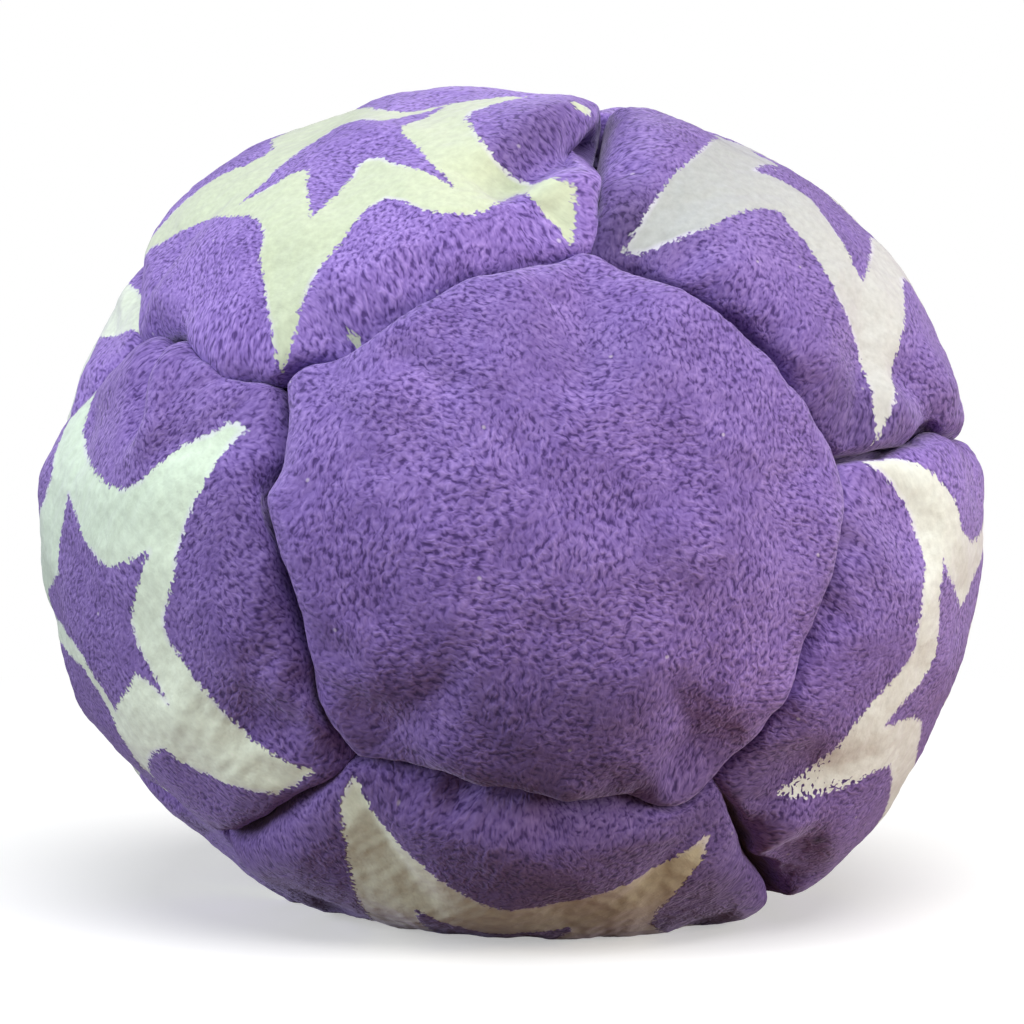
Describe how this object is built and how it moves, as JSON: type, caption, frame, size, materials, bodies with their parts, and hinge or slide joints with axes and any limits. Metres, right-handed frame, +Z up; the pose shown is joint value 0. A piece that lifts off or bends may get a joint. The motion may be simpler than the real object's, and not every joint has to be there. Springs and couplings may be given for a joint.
{
  "type": "footbag",
  "caption": "Small soft ball for kicking and juggling, sewn from five-sided suede panels with turned-in seams and filled with beans.",
  "frame": {"origin": "on the surface the ball rests on, under the middle of its bounding box", "axes": "+Z up, the plain front panel faces -Y, +X to the right as seen from the front"},
  "size_m": [0.057, 0.057, 0.0506],
  "materials": {
    "plain_suede": "short-nap purple suede",
    "star_suede": "short-nap purple suede with a pale hollow star print",
    "thread": "dark purple sewing thread",
    "beans": "natural plastic pellets"
  },
  "bodies": {
    "root": {"back_panel": "star_suede", "back_ring_panel_1": "star_suede", "back_ring_panel_2": "star_suede", "back_ring_panel_3": "star_suede", "back_ring_panel_4": "star_suede", "back_ring_panel_5": "star_suede", "back_ring_seam_thread_1": "thread", "back_ring_seam_thread_2": "thread", "back_ring_seam_thread_3": "thread", "back_ring_seam_thread_4": "thread", "back_ring_seam_thread_5": "thread", "back_seam_thread_1": "thread", "back_seam_thread_2": "thread", "back_seam_thread_3": "thread", "back_seam_thread_4": "thread", "back_seam_thread_5": "thread", "bean_fill": "beans", "front_panel": "plain_suede", "front_ring_panel_1": "star_suede", "front_ring_panel_2": "star_suede", "front_ring_panel_3": "star_suede", "front_ring_panel_4": "star_suede", "front_ring_panel_5": "star_suede", "front_ring_seam_thread_1": "thread", "front_ring_seam_thread_2": "thread", "front_ring_seam_thread_3": "thread", "front_ring_seam_thread_4": "thread", "front_ring_seam_thread_5": "thread", "front_seam_thread_1": "thread", "front_seam_thread_2": "thread", "front_seam_thread_3": "thread", "front_seam_thread_4": "thread", "front_seam_thread_5": "thread", "middle_seam_thread_1": "thread", "middle_seam_thread_10": "thread", "middle_seam_thread_2": "thread", "middle_seam_thread_3": "thread", "middle_seam_thread_4": "thread", "middle_seam_thread_5": "thread", "middle_seam_thread_6": "thread", "middle_seam_thread_7": "thread", "middle_seam_thread_8": "thread", "middle_seam_thread_9": "thread"}
  },
  "joints": []
}
